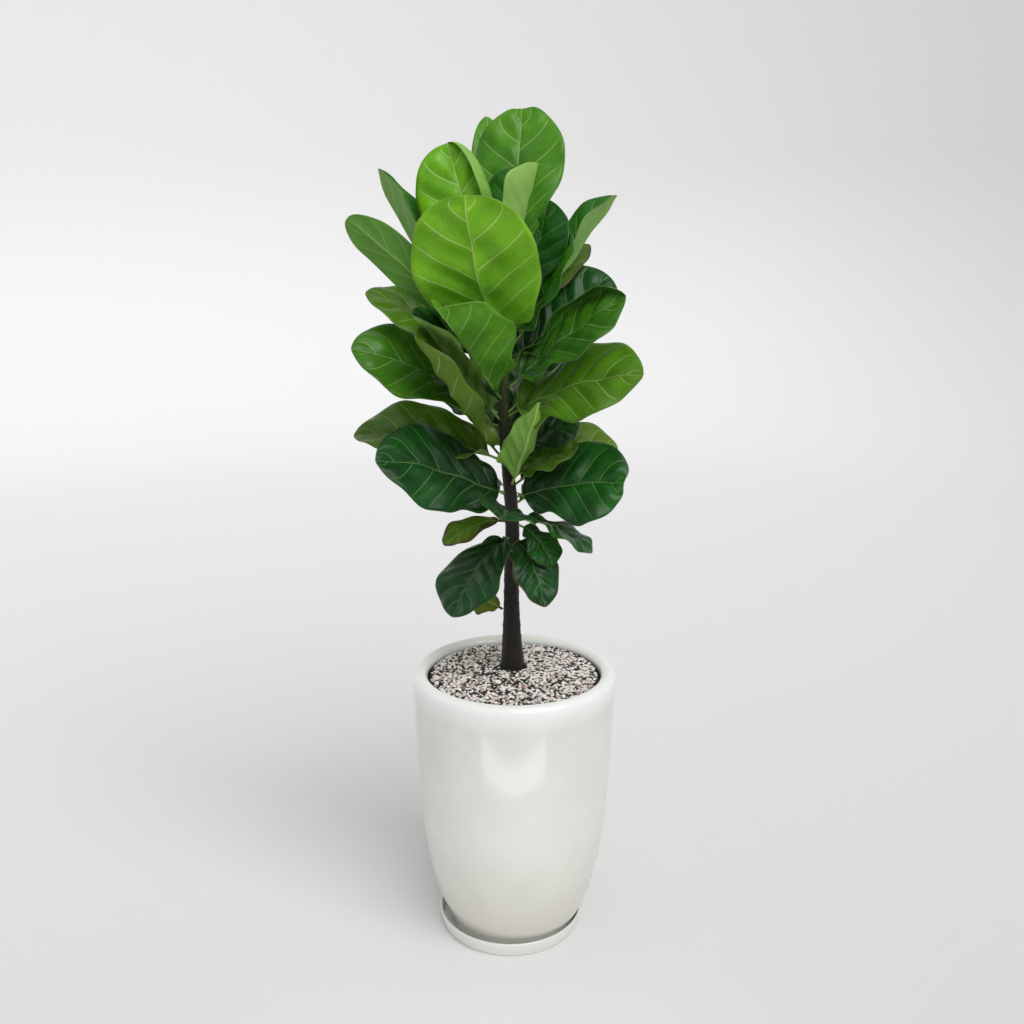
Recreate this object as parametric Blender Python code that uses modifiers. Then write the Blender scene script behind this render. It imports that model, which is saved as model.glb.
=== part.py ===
"""A potted fiddle leaf fig (Ficus lyrata) in a glazed egg-shaped pot on a saucer.

Run it with: blender --background --python part.py, or from Blender's text editor.
Metres, +Z up. The origin is the middle of the saucer's flat underside, and the plant's best
side faces -Y. The pot stands in its saucer, the potting soil fills the pot, gravel covers the
soil, the stem stands in both, and each leaf is one solid with its stalk.
"""

import math
from dataclasses import dataclass

import bmesh
import bpy
import numpy as np

# Driving dimensions.
GAP = 0.0003  # clearance between pieces that touch
POT_X = 0.007  # the pot stands a little off the middle of its saucer
POT_HEIGHT = 0.552
POT_RADIUS = 0.200
POT_WALL = 0.014
RIM_RADIUS = 0.0147  # half the thickness of the rolled rim
DRAIN_RADIUS = 0.014
SAUCER_RADIUS = 0.1468
SAUCER_HEIGHT = 0.031
SAUCER_FLOOR = 0.0085
SOIL_TOP = 0.520
GRAVEL_TOP = 0.5395
GRAVEL_RADIUS = 0.1695
STEM_FOOT = 0.440  # the stem goes this deep into the soil
STALK_THICKNESS = 0.0045
BLADE_THICKNESS = 0.0012
FLAP_START = 0.6  # a leaf's flap starts here, as a part of the way to its margin
TURN_STEPS = 32

# The stem's middle line from the soil to the growing tip: x, y, z and radius.
STEM = (
    (0.005, 0.020, 0.440, 0.0235),
    (0.005, 0.020, 0.556, 0.0235),
    (0.003, 0.017, 0.600, 0.0190),
    (0.001, 0.010, 0.680, 0.0150),
    (0.002, 0.004, 0.760, 0.0140),
    (0.005, 0.000, 0.820, 0.0135),
    (0.001, 0.000, 0.890, 0.0125),
    (-0.005, 0.000, 0.950, 0.0115),
    (-0.012, 0.000, 1.020, 0.0105),
    (-0.014, 0.000, 1.080, 0.0095),
    (-0.008, 0.000, 1.160, 0.0085),
    (0.000, 0.002, 1.240, 0.0075),
    (0.006, 0.004, 1.310, 0.0060),
    (0.008, 0.005, 1.350, 0.0035),
)


@dataclass
class Leaf:
    """One leaf. Angles are in degrees, and left and right are as seen on the upper face
    from the stalk."""

    name: str
    node: float  # height on the stem where the stalk leaves it
    tip: tuple
    width: float
    lift: float = 12  # how far the midrib starts above the line from stalk to tip
    droop: float = 20  # how far it ends below that line
    roll: float = 0  # turn about the midrib, right-handed from stalk to tip
    twist: float = 0  # more of the same turn, growing to this at the tip
    fold: tuple = (8, 8)  # left and right half, raised about the midrib
    curl: tuple = (-12, -12)  # further turn of each half from midrib to margin
    flap: tuple = (0, 0)  # further fold of each half's outer part
    wave: float = 0.005
    phase: float = 0.0
    broad: float = 1.6  # where the widest place is: more is nearer the tip
    blunt: float = 0.62  # less is rounder at the tip and at the base, 1 is pointed
    waist: float = 0.12
    stalk: float = 0.14  # part of the whole length that is bare stalk
    notch: float = 0.0
    tone: float = 0.5  # 0 young and lime green, 1 old and dark


LEAVES = (
    # The top of the crown, from the back to the front.
    Leaf("leaf_01", 1.323, (0.022, 0.094, 1.614), 0.174, 13, 9, -7, fold=(6, 6), broad=1.35,
         waist=0.03, notch=0.012, tone=0.35),
    Leaf("leaf_02", 1.285, (-0.046, 0.190, 1.603), 0.085, 0, 5, tone=0.3),
    Leaf("leaf_03", 1.260, (-0.113, 0.030, 1.537), 0.165, -10, -5, -75, fold=(5, 0), flap=(0, 140),
         blunt=0.42, tone=0.05),
    Leaf("leaf_04", 1.230, (-0.237, 0.030, 1.493), 0.110, -25, -25, -5, fold=(50, 50), tone=0.5),
    Leaf("leaf_05", 1.168, (-0.276, -0.100, 1.402), 0.085, 0, 5, 50, blunt=0.42, tone=0.4),
    Leaf("leaf_06", 1.180, (-0.075, -0.135, 1.437), 0.226, -21, -18, 15, fold=(5, 5), broad=1.35,
         waist=0, stalk=0.07, tone=0.0, blunt=0.4),
    Leaf("leaf_07", 1.090, (-0.117, -0.226, 1.255), 0.180, -5, 7, -6, fold=(45, 45), broad=1.2, tone=0.2),
    Leaf("leaf_08", 1.190, (0.108, -0.030, 1.378), 0.130, -10, -5, 40, fold=(20, 20), blunt=0.45, tone=0.75),
    Leaf("leaf_09", 1.234, (0.070, 0.011, 1.438), 0.148, 0, 0, 40, tone=0.7),
    Leaf("leaf_10", 1.301, (0.050, 0.031, 1.502), 0.173, 19, 3, 45, fold=(5, 105), curl=(-10, 10),
         tone=0.6),
    Leaf("leaf_11", 1.226, (0.196, 0.071, 1.449), 0.110, -14, -1, 3, fold=(50, 50), tone=0.6),
    Leaf("leaf_12", 1.200, (0.150, 0.119, 1.364), 0.078, 13, 16, 20, tone=0.6),
    # The middle, on the left.
    Leaf("leaf_13", 1.148, (-0.257, -0.043, 1.277), 0.123, 12, 10, -34, tone=0.5),
    Leaf("leaf_14", 1.060, (-0.277, -0.100, 1.183), 0.165, 10, 15, -45, tone=0.5),
    Leaf("leaf_15", 1.052, (-0.163, -0.165, 1.244), 0.150, -1, 5, -32, fold=(30, 30), tone=0.9),
    Leaf("leaf_16", 0.980, (-0.158, -0.180, 1.207), 0.198, -5, 5, -55, fold=(15, 10), flap=(110, 0),
         tone=0.8),
    # The middle, on the right.
    Leaf("leaf_17", 1.110, (0.201, -0.080, 1.271), 0.170, 5, 10, 40, fold=(10, 10), broad=1.6,
         blunt=0.55, waist=0.12, tone=0.55, flap=(130, 0)),
    Leaf("leaf_18", 1.055, (0.230, -0.120, 1.138), 0.180, 12, 20, 45, broad=1.3, tone=0.4),
    Leaf("leaf_19", 1.150, (0.185, 0.060, 1.305), 0.160, 0, 5, 45, tone=0.6, blunt=0.5),
    # The lower tiers.
    Leaf("leaf_20", 0.970, (-0.298, 0.030, 1.010), 0.190, 14, 18, -35, fold=(30, 5), broad=1.2,
         tone=0.55, blunt=0.65),
    Leaf("leaf_21", 0.909, (-0.232, -0.163, 0.996), 0.174, 1, 16, -57, broad=1.15, stalk=0.1, tone=0.85),
    Leaf("leaf_22", 0.870, (-0.018, -0.200, 0.903), 0.120, 5, 5, -10, fold=(5, 35), tone=0.9),
    Leaf("leaf_23", 0.853, (-0.123, -0.070, 0.821), 0.065, 28, 25, -20, tone=0.5),
    Leaf("leaf_24", 0.820, (-0.106, -0.120, 0.698), 0.150, 30, 20, 0, broad=1.35, stalk=0.07, tone=0.95),
    Leaf("leaf_25", 0.670, (-0.075, 0.020, 0.690), 0.065, 10, 10, -45, tone=0.1),
    Leaf("leaf_26", 0.817, (0.065, -0.089, 0.707), 0.100, 25, 20, 3, broad=0.95, stalk=0.08, tone=0.9),
    Leaf("leaf_27", 0.845, (0.080, -0.050, 0.776), 0.075, 30, 20, 22, tone=0.8),
    Leaf("leaf_28", 0.862, (0.152, -0.060, 0.803), 0.110, 20, 20, -4, tone=0.8),
    Leaf("leaf_29", 0.900, (0.218, -0.079, 0.938), 0.178, 8, 15, 50, broad=1.45, stalk=0.06,
         notch=0.012, tone=0.8),
    Leaf("leaf_30", 0.940, (0.127, -0.011, 0.996), 0.130, 14, 20, 39, fold=(8, 30), broad=1.2,
         stalk=0.08, tone=0.5),
    Leaf("leaf_31", 0.970, (0.130, 0.010, 1.035), 0.120, 20, 30, 25, tone=0.9),
    Leaf("leaf_32", 0.940, (0.211, 0.110, 0.979), 0.140, 15, 25, 30, tone=0.5),
    Leaf("leaf_33", 0.930, (0.050, -0.120, 1.091), 0.085, -5, 0, 0, fold=(40, 40), broad=0.6, blunt=0.8,
         tone=0.15),
    # The far side.
    Leaf("leaf_34", 1.215, (0.060, 0.200, 1.400), 0.140, tone=0.6),
    Leaf("leaf_35", 1.245, (-0.100, 0.170, 1.420), 0.150, tone=0.5),
    Leaf("leaf_36", 1.180, (-0.140, 0.200, 1.350), 0.170, tone=0.6),
    Leaf("leaf_37", 1.120, (0.030, 0.270, 1.260), 0.190, tone=0.7),
    Leaf("leaf_38", 1.060, (0.190, 0.180, 1.165), 0.180, tone=0.7),
    Leaf("leaf_39", 1.020, (-0.205, 0.185, 1.120), 0.175, tone=0.7),
    Leaf("leaf_40", 0.960, (0.040, 0.270, 1.020), 0.190, tone=0.8),
    Leaf("leaf_41", 0.920, (0.170, 0.190, 0.950), 0.170, tone=0.8),
    Leaf("leaf_42", 0.900, (-0.150, 0.170, 0.905), 0.140, tone=0.9),
    Leaf("leaf_43", 0.990, (0.030, 0.255, 1.140), 0.155, tone=0.8),
    Leaf("leaf_44", 0.885, (0.100, 0.100, 0.890), 0.110, tone=0.9),
)


def turned(vector, axis, degrees):
    """The vector turned about a unit axis, right-handed."""
    angle = math.radians(degrees)
    along = axis * np.dot(axis, vector)
    return along + (vector - along) * math.cos(angle) + np.cross(axis, vector) * math.sin(angle)


def unit(vector):
    return vector / np.linalg.norm(vector)


def smooth_step(value):
    value = min(max(value, 0.0), 1.0)
    return value * value * (3 - 2 * value)


def stem_at(height):
    """The stem's middle and radius at a height."""
    heights = [row[2] for row in STEM]
    x, y, radius = (np.interp(height, heights, [row[i] for row in STEM]) for i in (0, 1, 3))
    return np.array((x, y, height)), radius


def midrib_of(leaf):
    """The midrib as a function of the part of its length, giving place, heading and up."""
    foot, radius = stem_at(leaf.node)
    tip = np.array(leaf.tip)
    out = unit((tip - foot) * (1, 1, 0))
    rise = abs(unit(tip - foot)[2])
    start = foot + out * (radius + GAP + STALK_THICKNESS * (0.2 + rise))
    length = np.linalg.norm(tip - start)
    chord = (tip - start) / length
    up = unit(np.array((0, 0, 1)) - chord[2] * chord)
    side = np.cross(chord, up)
    first = start + turned(chord, side, leaf.lift) * length / 3
    last = tip - turned(chord, side, -leaf.droop) * length / 3
    steps = np.linspace(0, 1, 61)[:, None]
    line = (
        start * (1 - steps) ** 3
        + first * 3 * steps * (1 - steps) ** 2
        + last * 3 * steps**2 * (1 - steps)
        + tip * steps**3
    )
    run = np.concatenate(([0], np.cumsum(np.linalg.norm(np.diff(line, axis=0), axis=1))))
    headings = np.gradient(line, run, axis=0)

    def at(part):
        place = np.array([np.interp(part * run[-1], run, line[:, i]) for i in range(3)])
        heading = unit(np.array([np.interp(part * run[-1], run, headings[:, i]) for i in range(3)]))
        across = unit(np.cross(heading, up))
        return place, heading, np.cross(across, heading)

    return at, run[-1]


def half_section(distance, half, fold, turn, flap):
    """How far out and up a point of the blade lies from the midrib, on a half that leaves it
    at the angle fold, turns by a further angle up to its margin, and is creased at FLAP_START."""
    turn = turn if abs(turn) > 0.01 else 0.01
    flat = min(distance, FLAP_START * half)
    here = fold + turn * flat / half
    out = half * (math.sin(here) - math.sin(fold)) / turn
    rise = half * (math.cos(fold) - math.cos(here)) / turn
    past = distance - flat
    return out + past * math.cos(here + flap), rise + past * math.sin(here + flap)


def blade_point(leaf, midrib, length, along, across):
    """A point of the leaf's upper face. along runs 0 to 1 from stem to tip, and across from
    -1 at the left margin to 1 at the right one."""
    blade = max(0.0, (along - leaf.stalk) / (1 - leaf.stalk))
    shape = math.sin(math.pi * min(blade, 1) ** leaf.broad) ** leaf.blunt if 0 < blade < 1 else 0.0
    shape *= 1 - leaf.waist * math.exp(-(((blade - 0.27) / 0.13) ** 2))
    half = max(shape * leaf.width, STALK_THICKNESS) / 2
    distance = abs(across) * half
    pull = leaf.notch * math.exp(-((distance / (0.11 * leaf.width)) ** 2)) * smooth_step((blade - 0.8) / 0.2)
    place, heading, up = midrib(along - pull / length)
    up = turned(up, heading, leaf.roll + leaf.twist * blade)
    side = np.cross(heading, up)
    which = 0 if across < 0 else 1
    opened = smooth_step(blade / 0.2)
    fold = math.radians(leaf.fold[which]) * opened
    turn = math.radians(leaf.curl[which]) * opened
    flap = math.radians(leaf.flap[which]) * opened
    out, rise = half_section(distance, half, fold, turn, flap)
    ripple = math.sin(2 * math.pi * (2.6 * blade + leaf.phase + 0.4 * which))
    rise += leaf.wave * across**2 * ripple * opened * (1 - smooth_step((blade - 0.85) / 0.15))
    return place + side * (out if across > 0 else -out) + up * rise


def leaf_object(leaf, material):
    """A leaf as a bent sheet that Solidify gives its thickness, more along the stalk."""
    blade_rows = (0, 0.07, 0.18, 0.32, 0.46, 0.6, 0.73, 0.85, 0.94, 1)
    rows = [0] + [leaf.stalk + (1 - leaf.stalk) * row for row in blade_rows]
    columns = (-1, -FLAP_START, 0, FLAP_START, 1)
    midrib, length = midrib_of(leaf)
    sheet = bmesh.new()
    bmesh.ops.create_grid(sheet, x_segments=len(columns) - 1, y_segments=len(rows) - 1, size=1)
    thickness = sheet.verts.layers.deform.verify()
    for vertex in sheet.verts:
        column = round((vertex.co.x + 1) / 2 * (len(columns) - 1))
        row = round((vertex.co.y + 1) / 2 * (len(rows) - 1))
        vertex.co = blade_point(leaf, midrib, length, rows[row], columns[column])
        vertex[thickness][0] = 1 - smooth_step((rows[row] - leaf.stalk) / 0.15)
    mesh = bpy.data.meshes.new(leaf.name)
    sheet.to_mesh(mesh)
    sheet.free()
    obj = add_object(leaf.name, mesh, material)
    obj.vertex_groups.new(name="stalk")
    solidify = obj.modifiers.new("Thickness", "SOLIDIFY")
    solidify.thickness = STALK_THICKNESS
    solidify.offset = -1
    solidify.vertex_group = "stalk"
    solidify.thickness_vertex_group = BLADE_THICKNESS / STALK_THICKNESS
    return obj


def add_object(name, mesh, material=None):
    obj = bpy.data.objects.new(name, mesh)
    plant.objects.link(obj)
    if material:
        mesh.materials.append(material)
        mesh.shade_smooth()
    return obj


def material_of(name, colour, roughness):
    material = bpy.data.materials.new(name)
    material.use_nodes = True
    shader = material.node_tree.nodes["Principled BSDF"]
    shader.inputs["Base Color"].default_value = (*colour, 1)
    shader.inputs["Roughness"].default_value = roughness
    return material


def arc(middle, radius, start, end, steps):
    """Points (r, z) on an arc of a profile, from one angle in degrees to another."""
    angles = (math.radians(start + (end - start) * i / steps) for i in range(steps + 1))
    return [(middle[0] + radius * math.cos(a), middle[1] + radius * math.sin(a)) for a in angles]


def turned_object(name, profile, middle, material, closed):
    """A round piece: its profile, down the outer side first, turned about an upright axis."""
    mesh = bpy.data.meshes.new(name)
    edges = [(i, i + 1) for i in range(len(profile) - 1)]
    if closed:
        edges.append((len(profile) - 1, 0))
    mesh.from_pydata([(r, 0, z) for r, z in profile], edges, [])
    obj = add_object(name, mesh, material)
    obj.location = (*middle, 0)
    screw = obj.modifiers.new("Turn", "SCREW")
    screw.steps = screw.render_steps = TURN_STEPS
    screw.use_merge_vertices = True
    screw.merge_threshold = 0.00005
    screw.use_smooth_shade = True
    return obj


# The pot's outer side below the rim, as radius and height, down to the foot.
POT_SIDE = (
    (0.2000, 0.515),
    (0.1972, 0.470),
    (0.1943, 0.395),
    (0.1900, 0.307),
    (0.1835, 0.222),
    (0.1755, 0.170),
    (0.1670, 0.125),
    (0.1570, 0.088),
    (0.1460, 0.058),
    (0.1380, 0.0405),
)


def make_pot():
    foot = SAUCER_FLOOR + GAP
    rim = (POT_RADIUS - RIM_RADIUS, POT_HEIGHT - RIM_RADIUS)
    foot_ring = [
        (0.1380, 0.0365),
        (0.1305, 0.0340),
        (0.1300, foot + 0.003),
        (0.1275, foot),
        (0.1180, foot),
        (0.1160, foot + 0.006),
        (DRAIN_RADIUS, foot + 0.006),
    ]
    floor = foot + 0.006 + POT_WALL
    inside = [(DRAIN_RADIUS, floor), (0.118, floor)]
    inside += [(r - POT_WALL, z) for r, z in reversed(POT_SIDE[1:-2])]
    profile = arc(rim, RIM_RADIUS, 235, 0, 6) + list(POT_SIDE) + foot_ring + inside
    turned_object(
        "pot", profile, (POT_X, 0), material_of("glaze", (0.76, 0.77, 0.72), 0.12), closed=True
    )
    return inside


def make_saucer():
    wall = 0.005
    lip = arc((SAUCER_RADIUS - wall / 2, SAUCER_HEIGHT - wall / 2), wall / 2, 180, 0, 4)
    outside = [(0.1435, 0.0120), (0.1405, 0.0030), (0.1375, 0)]
    inside = [(0, SAUCER_FLOOR), (0.1350, SAUCER_FLOOR), (0.1392, 0.0125)]
    profile = inside + lip + outside + [(0, 0)]
    return turned_object(
        "saucer", profile, (0, 0), material_of("saucer_glaze", (0.72, 0.73, 0.69), 0.15), closed=False
    )


def make_fillings(pot_inside):
    """The soil and the gravel on it, with the hole that the stem stands in."""
    cutter_mesh = bpy.data.meshes.new("stem_hole")
    hole = bmesh.new()
    depth = 0.2
    bmesh.ops.create_cone(
        hole, cap_ends=True, segments=32, radius1=STEM[0][3] + GAP, radius2=STEM[0][3] + GAP, depth=depth
    )
    bmesh.ops.translate(hole, verts=hole.verts, vec=(STEM[0][0], STEM[0][1], STEM_FOOT - GAP + depth / 2))
    hole.to_mesh(cutter_mesh)
    hole.free()
    cutter = bpy.data.objects.new("stem_hole", cutter_mesh)
    cutters.objects.link(cutter)
    cutter.hide_render = True
    cutter.display_type = "WIRE"

    floor = pot_inside[0][1] + GAP
    side = [(r - GAP, z + GAP) for r, z in pot_inside[2:]]
    soil = [(0, SOIL_TOP), (GRAVEL_RADIUS, SOIL_TOP)] + side[::-1] + [(0.1178, floor), (0, floor)]
    gravel = [
        (0, GRAVEL_TOP + 0.007),
        (0.045, GRAVEL_TOP + 0.006),
        (0.110, GRAVEL_TOP + 0.001),
        (GRAVEL_RADIUS - 0.004, GRAVEL_TOP - 0.001),
        (GRAVEL_RADIUS, GRAVEL_TOP - 0.006),
        (GRAVEL_RADIUS, SOIL_TOP + GAP),
        (0, SOIL_TOP + GAP),
    ]
    pieces = (
        ("potting_soil", soil, material_of("potting_mix", (0.045, 0.030, 0.022), 0.95)),
        ("gravel_top_dressing", gravel, material_of("washed_gravel", (0.45, 0.41, 0.40), 0.8)),
    )
    for name, profile, material in pieces:
        piece = turned_object(name, profile, (POT_X, 0), material, closed=False)
        cut = piece.modifiers.new("Stem hole", "BOOLEAN")
        cut.operation = "DIFFERENCE"
        cut.solver = "EXACT"
        cut.object = cutter


def make_stem():
    curve = bpy.data.curves.new("stem", "CURVE")
    curve.dimensions = "3D"
    curve.bevel_depth = 1.0
    curve.bevel_resolution = 4
    curve.use_fill_caps = True
    line = curve.splines.new("POLY")
    line.points.add(len(STEM) - 1)
    for point, (x, y, z, radius) in zip(line.points, STEM):
        point.co = (x, y, z, 1)
        point.radius = radius
    obj = bpy.data.objects.new("stem", curve)
    curve.materials.append(material_of("bark", (0.030, 0.024, 0.022), 0.8))
    plant.objects.link(obj)
    return obj


for old in list(bpy.data.objects):
    bpy.data.objects.remove(old, do_unlink=True)
plant = bpy.data.collections.new("potted_fiddle_leaf_fig")
cutters = bpy.data.collections.new("cutters")
bpy.context.scene.collection.children.link(plant)
bpy.context.scene.collection.children.link(cutters)

make_saucer()
pot_inside = make_pot()
make_fillings(pot_inside)
make_stem()
YOUNG, OLD = (0.22, 0.42, 0.02), (0.015, 0.07, 0.018)
for leaf in LEAVES:
    green = [young + (old - young) * leaf.tone for young, old in zip(YOUNG, OLD)]
    leaf_object(leaf, material_of(leaf.name, green, 0.4))
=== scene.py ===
"""Looks for the potted fiddle leaf fig (Ficus lyrata): glazed pot and saucer, gravel, stem and leaves."""

import math
from dataclasses import dataclass

import bmesh
import bpy
import numpy as np
from mathutils import Matrix, Vector


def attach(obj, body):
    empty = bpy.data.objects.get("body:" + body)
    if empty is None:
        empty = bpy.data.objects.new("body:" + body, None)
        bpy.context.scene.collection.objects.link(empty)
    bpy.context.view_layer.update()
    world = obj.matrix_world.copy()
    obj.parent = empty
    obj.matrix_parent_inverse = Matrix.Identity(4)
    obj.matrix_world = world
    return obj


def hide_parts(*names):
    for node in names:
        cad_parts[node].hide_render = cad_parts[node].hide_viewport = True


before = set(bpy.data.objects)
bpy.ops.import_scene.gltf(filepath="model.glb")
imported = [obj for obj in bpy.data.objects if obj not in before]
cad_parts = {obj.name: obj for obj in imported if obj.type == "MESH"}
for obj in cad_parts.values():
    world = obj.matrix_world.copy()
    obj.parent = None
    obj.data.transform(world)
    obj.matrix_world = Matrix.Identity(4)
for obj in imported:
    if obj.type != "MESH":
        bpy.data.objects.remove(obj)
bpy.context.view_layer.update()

# The saucer: a shallow round dish of white stoneware under an off-white glaze. It is jiggered
# on a wheel, so it is truly round, and its lip is rounded off by a wet sponge. It lies on the
# floor on its whole flat underside.


def srgb(code):
    """A colour written as sRGB hex, in the linear values that the sockets take."""
    parts = [int(code[i : i + 2], 16) / 255 for i in (0, 2, 4)]
    return (*(p / 12.92 if p < 0.04045 else ((p + 0.055) / 1.055) ** 2.4 for p in parts), 1)


def add(tree, kind, inputs=None, **settings):
    """A new node of a material, with its settings, input values and links."""
    made = tree.nodes.new(kind)
    for name, value in settings.items():
        setattr(made, name, value)
    for key, value in (inputs or {}).items():
        if isinstance(value, bpy.types.NodeSocket):
            tree.links.new(value, made.inputs[key])
        else:
            made.inputs[key].default_value = value
    return made


def new_material(name):
    """An empty material: it, its node tree and its output."""
    material = bpy.data.materials.new(name)
    material.use_nodes = True
    material.node_tree.nodes.clear()
    return material, material.node_tree, material.node_tree.nodes.new("ShaderNodeOutputMaterial")


def new_piece(name, shape, *materials):
    """A bmesh made into a smooth-shaded object with its materials, and freed."""
    mesh = bpy.data.meshes.new(name)
    shape.to_mesh(mesh)
    shape.free()
    mesh.shade_smooth()
    for material in materials:
        mesh.materials.append(material)
    obj = bpy.data.objects.new(name, mesh)
    bpy.context.scene.collection.objects.link(obj)
    return obj


def turn_on_wheel(profile, middle, segments):
    """A closed profile of radius and height, spun about an upright axis."""
    shape = bmesh.new()
    corners = [shape.verts.new((middle[0] + r, middle[1], z)) for r, z in profile]
    for a, b in zip(corners, corners[1:] + corners[:1]):
        if a.co.xy != Vector(middle) or b.co.xy != Vector(middle):
            shape.edges.new((a, b))
    bmesh.ops.spin(
        shape,
        geom=shape.verts[:] + shape.edges[:],
        cent=(*middle, 0),
        axis=(0, 0, 1),
        angle=math.tau,
        steps=segments,
        use_merge=True,
    )
    bmesh.ops.remove_doubles(shape, verts=shape.verts, dist=0.00002)
    bmesh.ops.recalc_face_normals(shape, faces=shape.faces)
    return shape


def arc(middle, radius, start, end, steps):
    """Points of a profile on an arc, from one angle in degrees to another."""
    angles = np.radians(np.linspace(start, end, steps + 1))
    return [(middle[0] + radius * math.cos(a), middle[1] + radius * math.sin(a)) for a in angles]


SAUCER_RADIUS, SAUCER_HEIGHT, SAUCER_FLOOR, LIP = 0.1468, 0.031, 0.0085, 0.0025
saucer_profile = (
    [(0, SAUCER_FLOOR), (0.070, SAUCER_FLOOR), (0.1340, SAUCER_FLOOR), (0.1372, 0.0094)]
    + [(0.1392, 0.0125), (0.1405, 0.0190)]
    + arc((SAUCER_RADIUS - LIP, SAUCER_HEIGHT - LIP), LIP, 170, 0, 8)
    + [(0.1457, 0.0200), (0.1436, 0.0120), (0.1412, 0.0050), (0.1400, 0.0020)]
    + arc((0.1375, 0.0015), 0.0015, -20, -90, 3)
    + [(0.070, 0), (0, 0)]
)

# Stoneware glaze, fired glossy: glass over a pale body. It gives a clear reflection that is
# pulled a little out of true by the uneven glaze, and a faint warm clouding of the white.
glaze, tree, output = new_material("off_white_stoneware_glaze")
place = add(tree, "ShaderNodeTexCoord")
clouding = add(
    tree,
    "ShaderNodeTexNoise",
    {"Vector": place.outputs["Object"], "Scale": 9.0, "Detail": 3.0, "Roughness": 0.5},
)
cloud_amount = add(
    tree, "ShaderNodeMapRange", {"Value": clouding.outputs["Fac"], "From Min": 0.3, "From Max": 0.7}
)
glaze_colour = add(
    tree,
    "ShaderNodeMix",
    {0: cloud_amount.outputs["Result"], 6: srgb("e3e3de"), 7: srgb("dbdcd5")},
    data_type="RGBA",
)
# Painted shade darkens and warms the glaze at the foot; a painted highlight whitens the rim.
height_axis = add(tree, "ShaderNodeSeparateXYZ", {"Vector": place.outputs["Object"]})
# Painted shade: darker and warmer towards the pot's foot, not on the saucer.
foot_shade = add(
    tree,
    "ShaderNodeMapRange",
    {"Value": height_axis.outputs["Z"], "From Min": 0.03, "From Max": 0.26, "To Min": 0.75, "To Max": 0.0},
)
on_pot = add(
    tree, "ShaderNodeMapRange", {"Value": height_axis.outputs["Z"], "From Min": 0.031, "From Max": 0.036}
)
foot_shade = add(
    tree, "ShaderNodeMath", {0: foot_shade.outputs["Result"], 1: on_pot.outputs["Result"]}, operation="MULTIPLY"
)
# Painted highlight: the glaze is whitened towards the rim, whose top faces the light.
rim_highlight = add(
    tree, "ShaderNodeMapRange", {"Value": height_axis.outputs["Z"], "From Min": 0.50, "From Max": 0.545}
)
glaze_with_foot_shade = add(
    tree,
    "ShaderNodeMix",
    {0: foot_shade.outputs["Value"], 6: glaze_colour.outputs[2], 7: srgb("c9c4b6")},
    data_type="RGBA",
)
glaze_with_painted_light = add(
    tree,
    "ShaderNodeMix",
    {0: rim_highlight.outputs["Result"], 6: glaze_with_foot_shade.outputs[2], 7: srgb("f7f8f6")},
    data_type="RGBA",
)
# A speck of iron shows every 9 mm or so.
specks = add(tree, "ShaderNodeTexVoronoi", {"Vector": place.outputs["Object"], "Scale": 110.0})
speck_amount = add(
    tree,
    "ShaderNodeMapRange",
    {"Value": specks.outputs["Distance"], "From Min": 0.03, "From Max": 0.07, "To Min": 0.35, "To Max": 0.0},
)
speckled = add(
    tree,
    "ShaderNodeMix",
    {0: speck_amount.outputs["Result"], 6: glaze_with_painted_light.outputs[2], 7: srgb("b9b6a6")},
    data_type="RGBA",
)
# The glaze's surface rolls in 18 mm waves.
orange_peel = add(
    tree, "ShaderNodeTexNoise", {"Vector": place.outputs["Object"], "Scale": 55.0, "Detail": 1.0}
)
glaze_bump = add(
    tree, "ShaderNodeBump", {"Height": orange_peel.outputs["Fac"], "Strength": 0.12, "Distance": 0.002}
)
glaze_shader = add(
    tree,
    "ShaderNodeBsdfPrincipled",
    {
        "Base Color": speckled.outputs[2],
        "Roughness": 0.24,
        "IOR": 1.5,
        "Coat Weight": 0.5,
        "Coat Roughness": 0.08,
        "Normal": glaze_bump.outputs["Normal"],
    },
)
tree.links.new(glaze_shader.outputs["BSDF"], output.inputs["Surface"])

saucer = new_piece("glazed_saucer", turn_on_wheel(saucer_profile, (0, 0), 128), glaze)
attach(saucer, "root")
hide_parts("saucer")

# The pot: a tall egg-shaped planter, slip-cast in white stoneware with the same glaze, with a
# rolled rim and a foot ring that stands in the saucer. A drain hole goes through its floor.
POT_X, POT_HEIGHT, POT_RADIUS, POT_WALL, RIM_RADIUS = 0.007, 0.552, 0.200, 0.014, 0.0147
FOOT = SAUCER_FLOOR + 0.0003
rim_middle = (POT_RADIUS - RIM_RADIUS, POT_HEIGHT - RIM_RADIUS)
pot_side = [
    (0.2000, 0.520), (0.1993, 0.505), (0.1972, 0.470), (0.1958, 0.432), (0.1943, 0.395), (0.1924, 0.350),
    (0.1900, 0.307), (0.1872, 0.264), (0.1835, 0.222), (0.1798, 0.195), (0.1755, 0.170), (0.1717, 0.147),
    (0.1670, 0.125), (0.1623, 0.106), (0.1570, 0.088), (0.1518, 0.072), (0.1460, 0.058), (0.1418, 0.0485),
]
pot_foot = [
    (0.1382, 0.0410), (0.1374, 0.0395), (0.1365, 0.0370), (0.1312, 0.0345), (0.1304, 0.0330),
    (0.1300, FOOT + 0.003), (0.1292, FOOT + 0.001), (0.1275, FOOT), (0.1180, FOOT), (0.1165, FOOT + 0.002),
    (0.1160, FOOT + 0.006), (0.015, FOOT + 0.006), (0.014, FOOT + 0.007),
]
pot_inside = [(0.014, FOOT + 0.019), (0.015, FOOT + 0.020), (0.116, FOOT + 0.020), (0.118, FOOT + 0.022)]
pot_inside += [(r - POT_WALL, z) for r, z in reversed(pot_side[1:-3])]
pot = new_piece(
    "glazed_pot",
    turn_on_wheel(
        arc(rim_middle, RIM_RADIUS, 235, 0, 18) + pot_side + pot_foot + pot_inside, (POT_X, 0), 128
    ),
    glaze,
)
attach(pot, "root")
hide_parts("pot")

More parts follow.
